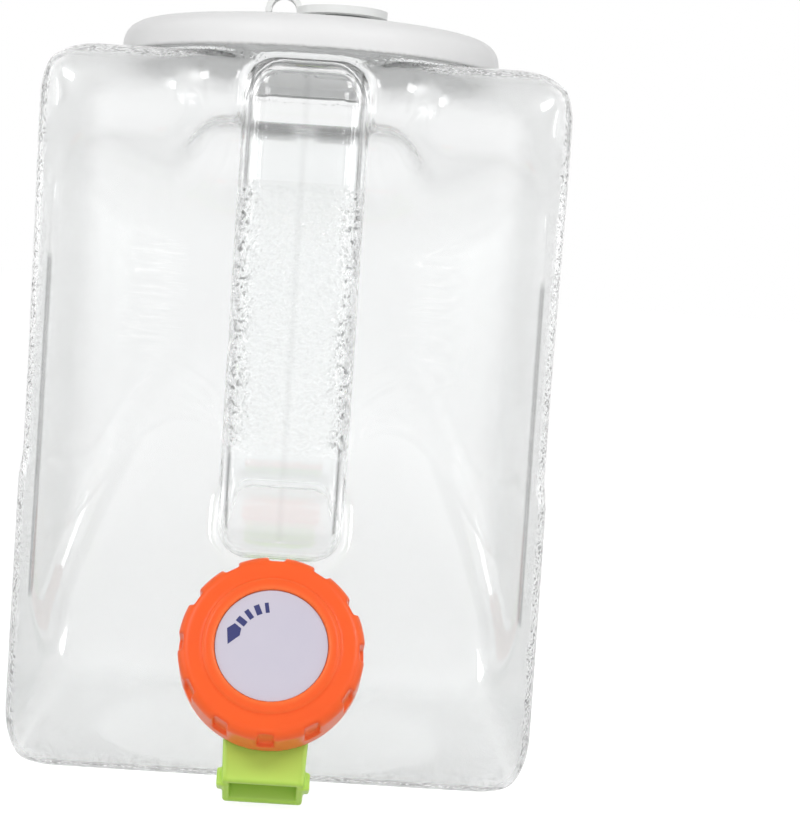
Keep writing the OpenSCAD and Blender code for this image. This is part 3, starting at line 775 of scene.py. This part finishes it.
# Tap body.
# One moulding of bright green polypropylene: a threaded spigot through the tank's wall, a flange, a round
# valve chamber and a square spout whose outlet is cut on a slant. Thin edges let light through, which is
# painted as a lighter colour there. Its sizes are millimetres in the tap's own frame, with z along the stem
# and y up the slope.
spigot_radius = 13.0
spigot_end = -15.0
spigot_sunk = 5.0
spigot_edge = 0.6
thread_half_depth = 0.35
thread_pitch = 2.0
inlet_radius = 9.5
flange_radius = 18.0
flange_back = 1.6
flange_front = 4.6
flange_edge = 0.7
flange_fillet = 0.8
chamber_out = 15.5
chamber_in = 12.2
chamber_edge = 0.5
chamber_fillet = 1.0
seat_face = 6.6
seat_radius = 7.0
seat_overlap = 1.0
chamber_end = 19.3
spout_half_width = 13.0
spout_end_half_width = 11.25
spout_length = 38.0
spout_back = 7.3
spout_wall = 2.0
spout_slant = math.atan2(4.0, 12.0)
spout_edge = 1.1
outlet_edge = 0.7
spout_fillet = 1.2
taper_limit = 1.2
catch_half_width = 13.05
catch_low = -35.0
catch_high = -30.0
catch_half_depth = 3.0
catch_edge = 0.6
hollow_edge = 0.5


def disc_distance(from_axis, z, radius, low, high, edge):
    """Signed distance to a round disc on the axis, with its two edges rounded."""
    return corner_distance(from_axis - radius, np.abs(z - (low + high) / 2) - (high - low) / 2, edge)


def tap_body_distance(x, y, z):
    """Signed distance to the tap body."""
    from_axis = np.hypot(x, y)
    spigot = disc_distance(from_axis, z, spigot_radius, spigot_end, chamber_end - spigot_sunk, spigot_edge)
    thread = thread_half_depth * np.cos(2 * np.pi * z / thread_pitch - np.arctan2(y, x)) - thread_half_depth
    spigot = spigot - np.where(z < 0, thread, 0)
    flange = disc_distance(from_axis, z, flange_radius, flange_back, flange_front, flange_edge)
    chamber = disc_distance(from_axis, z, chamber_out, flange_back, chamber_end, chamber_edge)
    along = np.clip(-y / spout_length, 0, taper_limit)
    half_width = spout_half_width - (spout_half_width - spout_end_half_width) * along
    middle = (spout_back + chamber_end) / 2
    half_depth = (chamber_end - spout_back) / 2
    outlet = (z - spout_back) * math.sin(spout_slant) - (y + spout_length) * math.cos(spout_slant)
    spout = corner_distance(np.abs(x) - half_width, np.abs(z - middle) - half_depth, spout_edge)
    spout = corner_distance(np.maximum(spout, y), outlet, outlet_edge)
    catch_end = np.maximum(y - catch_high, catch_low - y)
    catch_side = np.maximum(catch_end, np.abs(z - middle) - catch_half_depth)
    catch = corner_distance(np.abs(x) - catch_half_width, catch_side, catch_edge)
    solid = smooth_min(smooth_min(spigot, flange, flange_fillet), chamber, chamber_fillet)
    solid = smooth_min(smooth_min(solid, spout, spout_fillet), catch, catch_edge)
    inlet = np.maximum(from_axis - inlet_radius, z - flange_front)
    seat = np.maximum(from_axis - seat_radius, z - seat_face - seat_overlap)
    hollow = np.minimum(np.minimum(inlet, seat), np.maximum(from_axis - chamber_in, seat_face - z))
    channel = np.maximum(np.abs(x) - half_width + spout_wall, np.abs(z - middle) - half_depth + spout_wall)
    hollow = np.minimum(hollow, np.maximum(channel, y))
    return smooth_max(solid, -hollow, hollow_edge)


def thin_places(distance, points, depth):
    """1 where a piece is thin under a point, falling to 0 where it is a depth thick or more."""
    slope = slope_of(distance, points)
    slope /= np.maximum(np.linalg.norm(slope, axis=1), 1e-6)[:, None]
    under = -distance(*(points - slope * depth).T)
    return np.clip(1 - under / depth, 0, 1)


def moulded_piece(name, distance, low, high, step, place, thin_depth, body, material):
    """A piece from a signed distance in its own frame, marked where it is thin."""
    points, faces = moulded_skin(distance, low, high, step)
    mesh = bpy.data.meshes.new(name)
    mesh.from_pydata((points * MM).tolist(), [], faces.tolist())
    mark_points(mesh, "thin", thin_places(distance, points, thin_depth))
    mesh.transform(place)
    mesh.materials.append(material)
    return new_piece(name, mesh, body)


green_plastic = moulded_material(
    "green_plastic", color=(0.4, 0.72, 0.03), deep_color=(0.35, 0.66, 0.02), roughness=0.32, skin_depth=0.25,
    lit_through_color=(0.58, 0.86, 0.16),
)
tap = moulded_piece(
    "green_tap", tap_body_distance, low=(-18.83, -40.27, -15.77), high=(19.0, 19.0, 20.5), step=0.55,
    place=on_slope, thin_depth=1.6, body="jug", material=green_plastic,
)
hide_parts("tap_body")

# Tap nut.
# A ring of the same green plastic with a dozen grips, screwed onto the spigot inside the tank. It draws the
# tap's flange and both gaskets tight against the wall.
dress(green_plastic, "tap_nut")

# Bonnet and its seals.
# A green plug pushed into the valve chamber, sealed by a rubber ring outside and one round the stem. Its
# nose carries the thread that the knob turns on.
dress(green_plastic, "bonnet")
dark_rubber = moulded_material(
    "dark_rubber", color=(0.03, 0.03, 0.033), deep_color=(0.02, 0.02, 0.022), roughness=0.55, skin_depth=0.5
)
dress(dark_rubber, "bonnet_ring", "stem_ring")

# Valve.
# A white plastic stem with one flat, which slides through the bonnet, and a rubber disc on its end that
# shuts the seat. A steel screw in its other end holds the knob.
white_plastic = moulded_material(
    "white_plastic", color=(0.85, 0.85, 0.82), deep_color=(0.8, 0.8, 0.76), roughness=0.35, skin_depth=0.2
)
dress(white_plastic, "stem")
dress(dark_rubber, "valve_disc")
steel = moulded_material(
    "steel", color=(0.6, 0.6, 0.6), deep_color=(0.5, 0.5, 0.5), roughness=0.3, skin_depth=0.2, Metallic=1.0
)
dress(steel, "knob_screw")

# Knob.
# A hollow cap of orange polypropylene with a dozen grips, a soft front edge and a raised ring round its
# disc. It screws onto the bonnet's nose and turns on the stem's end.
knob_radius = 26.0
knob_back = 22.1
knob_front = 38.1
knob_soft_edge = 3.2
knob_ring_radius = 18.95
knob_ring_front = 38.9
knob_ring_edge = 0.7
knob_ring_fillet = 0.8
knob_seat_radius = 15.75
knob_seat = 37.1
knob_grips = 12
grip_half_width = 2.3
grip_depth = 1.5
grip_start = 27.6
grip_corner = 0.8
grip_run_out = 1.2
grip_edge = 0.7
skirt_hollow_middle = 18.25
skirt_hollow_half = 4.55
skirt_hollow_end = 34.1
thread_bore_radius = 11.3
thread_bore_end = 31.85
journal_radius = 2.88
screw_pocket_radius = 4.55
screw_pocket_floor = 35.25
knob_hollow_edge = 0.35


def knob_distance(x, y, z):
    """Signed distance to the knob."""
    from_axis = np.hypot(x, y)
    cap = corner_distance(from_axis - knob_radius, z - knob_front, knob_soft_edge)
    cap = np.maximum(cap, knob_back - z)
    ring = corner_distance(from_axis - knob_ring_radius, z - knob_ring_front, knob_ring_edge)
    ring = np.maximum(ring, knob_seat - z)
    solid = smooth_min(cap, ring, knob_ring_fillet)
    turn = 2 * np.pi / knob_grips
    angle = (np.arctan2(x, y) + turn / 2) % turn - turn / 2
    beside = np.abs(from_axis * np.sin(angle)) - grip_half_width
    notch = smooth_max(beside, knob_radius - grip_depth - from_axis * np.cos(angle), grip_corner)
    notch = smooth_max(notch, grip_start - z, grip_run_out)
    solid = smooth_max(solid, -notch, grip_edge)
    skirt_hollow = np.abs(from_axis - skirt_hollow_middle) - skirt_hollow_half
    skirt_hollow = np.maximum(skirt_hollow, z - skirt_hollow_end)
    thread_bore = np.maximum(from_axis - thread_bore_radius, z - thread_bore_end)
    journal = from_axis - journal_radius
    screw_pocket = np.maximum(from_axis - screw_pocket_radius, screw_pocket_floor - z)
    disc_seat = np.maximum(from_axis - knob_seat_radius, knob_seat - z)
    hollow = np.minimum(np.minimum(skirt_hollow, thread_bore), np.minimum(journal, screw_pocket))
    return smooth_max(solid, -np.minimum(hollow, disc_seat), knob_hollow_edge)


orange_plastic = moulded_material(
    "orange_plastic", color=(0.95, 0.085, 0.004), deep_color=(0.9, 0.07, 0.003), roughness=0.32,
    skin_depth=0.3, lit_through_color=(1.0, 0.2, 0.05),
    **{
        "Specular IOR Level": 0.25, "Subsurface Weight": 0.15,
        "Subsurface Radius": (0.004, 0.0012, 0.0004), "Subsurface Scale": 1.0,
    },
)
knob = moulded_piece(
    "orange_knob", knob_distance, low=(-27.13, -27.13, 21.33), high=(27.5, 27.5, 39.9), step=0.55,
    place=on_slope, thin_depth=2.4, body="knob", material=orange_plastic,
)
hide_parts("knob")

# Knob disc.
# A pale lilac plastic disc pressed into the knob's front, printed in navy with an arrow made of bars that
# shows which way the tap opens. The print is a film of ink, so it stands hardly above the disc.
disc_front = 38.1
ink_thickness = 0.06
bar_middle_radius = 10.7
bar_length = 2.9
# Each bar's turn in degrees and its width, and each corner of the head as degrees and radius.
bars = ((144, 1.7), (129, 1.4), (114, 1.6), (100, 1.1))
arrow_head = ((162, 13.2), (152, 11.9), (154, 9.6), (166, 9.2), (182, 12.1))


def printed_bar(degrees, width):
    """Corners of a bar that points away from the middle of the disc, anticlockwise."""
    turn = Matrix.Rotation(math.radians(degrees), 2)
    low = bar_middle_radius - bar_length / 2
    high = bar_middle_radius + bar_length / 2
    corners = ((low, -width / 2), (high, -width / 2), (high, width / 2), (low, width / 2))
    return [turn @ Vector(corner) for corner in corners]


def printed_head():
    """Corners of the arrow's head, anticlockwise."""
    corners = []
    for degrees, radius in arrow_head:
        angle = math.radians(degrees)
        corners.append(Vector((radius * math.cos(angle), radius * math.sin(angle))))
    return corners


ink_bm = bmesh.new()


def ink_ring(outline, height):
    """New points of an outline, at a height along the tap's axis."""
    return [ink_bm.verts.new((corner.x * MM, corner.y * MM, height * MM)) for corner in outline]


for outline in [printed_bar(degrees, width) for degrees, width in bars] + [printed_head()]:
    low_ring = ink_ring(outline, disc_front)
    high_ring = ink_ring(outline, disc_front + ink_thickness)
    ink_bm.faces.new(low_ring[::-1])
    ink_bm.faces.new(high_ring)
    for here in range(len(outline)):
        there = (here + 1) % len(outline)
        ink_bm.faces.new((low_ring[here], low_ring[there], high_ring[there], high_ring[here]))
bmesh.ops.recalc_face_normals(ink_bm, faces=ink_bm.faces[:])
ink_mesh = bpy.data.meshes.new("printed_arrow")
ink_bm.to_mesh(ink_mesh)
ink_bm.free()
ink_mesh.transform(on_slope)
navy_ink = moulded_material(
    "navy_ink", color=(0.022, 0.027, 0.15), deep_color=(0.018, 0.022, 0.13), roughness=0.4, skin_depth=0.1
)
ink_mesh.materials.append(navy_ink)
arrow = new_piece("printed_arrow", ink_mesh, "knob")
arrow.data.shade_flat()
label_plastic = moulded_material(
    "label_plastic", color=(0.6, 0.57, 0.66), deep_color=(0.57, 0.54, 0.64), roughness=0.4, skin_depth=0.1
)
dress(label_plastic, "knob_label")

# Lid and its seal.
# A domed cap of milky polyethylene that pushes over the neck's bead, with a collar for the vent. A flat ring
# of clear silicone under it seals against the neck's rim.
lid_radius = 59.8
lid_wall = 1.2
lid_low = 215.6
lid_crown = 229.6
dome_radius = 398.2
rim_softness = 7.0
land_under = 223.8
plug_radius = 53.1
plug_low = 216.8
plug_overlap = 1.0
plug_edge = 0.4
plug_fillet = 0.8
vent_x = 9.0
vent_radius = 7.6
collar_radius = 10.0
collar_top = 231.6
collar_edge = 0.6
collar_fillet = 0.8
button_x = -14.4
button_radius = 4.5
button_seat = 230.1
button_edge = 0.3
button_fillet = 0.6
boss_sunk = 3.0
stalk_hole = 2.25
hole_edge = 0.3


def lid_distance(x, y, z):
    """Signed distance to the lid."""
    from_middle = np.hypot(x, y)
    dome = np.hypot(from_middle, z - lid_crown + dome_radius) - dome_radius
    outside = smooth_max(from_middle - lid_radius, dome, rim_softness)
    shell = np.maximum(np.maximum(outside, -outside - lid_wall), lid_low - z)
    plug_wall = np.abs(from_middle - plug_radius + lid_wall / 2) - lid_wall / 2
    plug = corner_distance(plug_wall, plug_low - z, plug_edge)
    shell = smooth_min(shell, np.maximum(plug, z - land_under - plug_overlap), plug_fillet)
    from_vent = np.hypot(x - vent_x, y)
    from_button = np.hypot(x - button_x, y)
    collar = disc_distance(from_vent, z, collar_radius, lid_crown - boss_sunk, collar_top, collar_edge)
    boss = disc_distance(from_button, z, button_radius, lid_crown - boss_sunk, button_seat, button_edge)
    shell = smooth_min(smooth_min(shell, collar, collar_fillet), boss, button_fillet)
    holes = np.minimum(from_vent - vent_radius, from_button - stalk_hole)
    return smooth_max(shell, -holes, hole_edge)


lid_plastic = moulded_material(
    "lid_plastic", color=(0.92, 0.92, 0.92), deep_color=(0.9, 0.9, 0.9), roughness=0.42, skin_depth=0.25,
    lit_through_color=(0.94, 0.94, 0.94), **{"Transmission Weight": 0.2, "IOR": 1.4},
)
lid = moulded_piece(
    "milky_lid", lid_distance, low=(-61.3, -61.37, 214.71), high=(61.5, 61.5, 233.0), step=0.8,
    place=Matrix.Identity(4), thin_depth=1.2, body="lid", material=lid_plastic,
)
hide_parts("lid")
dress(clear_silicone, "lid_gasket")

# Vent cap and anchor.
# One moulding of soft white silicone: a round cap whose plug sits in the lid's vent, and a strap that ends
# at a button pressed into a small hole beside it, so that the cap stays with the lid.
white_silicone = moulded_material(
    "white_silicone", color=(0.82, 0.83, 0.82), deep_color=(0.77, 0.78, 0.77), roughness=0.5, skin_depth=0.3
)
dress(white_silicone, "vent_cap", "vent_anchor")
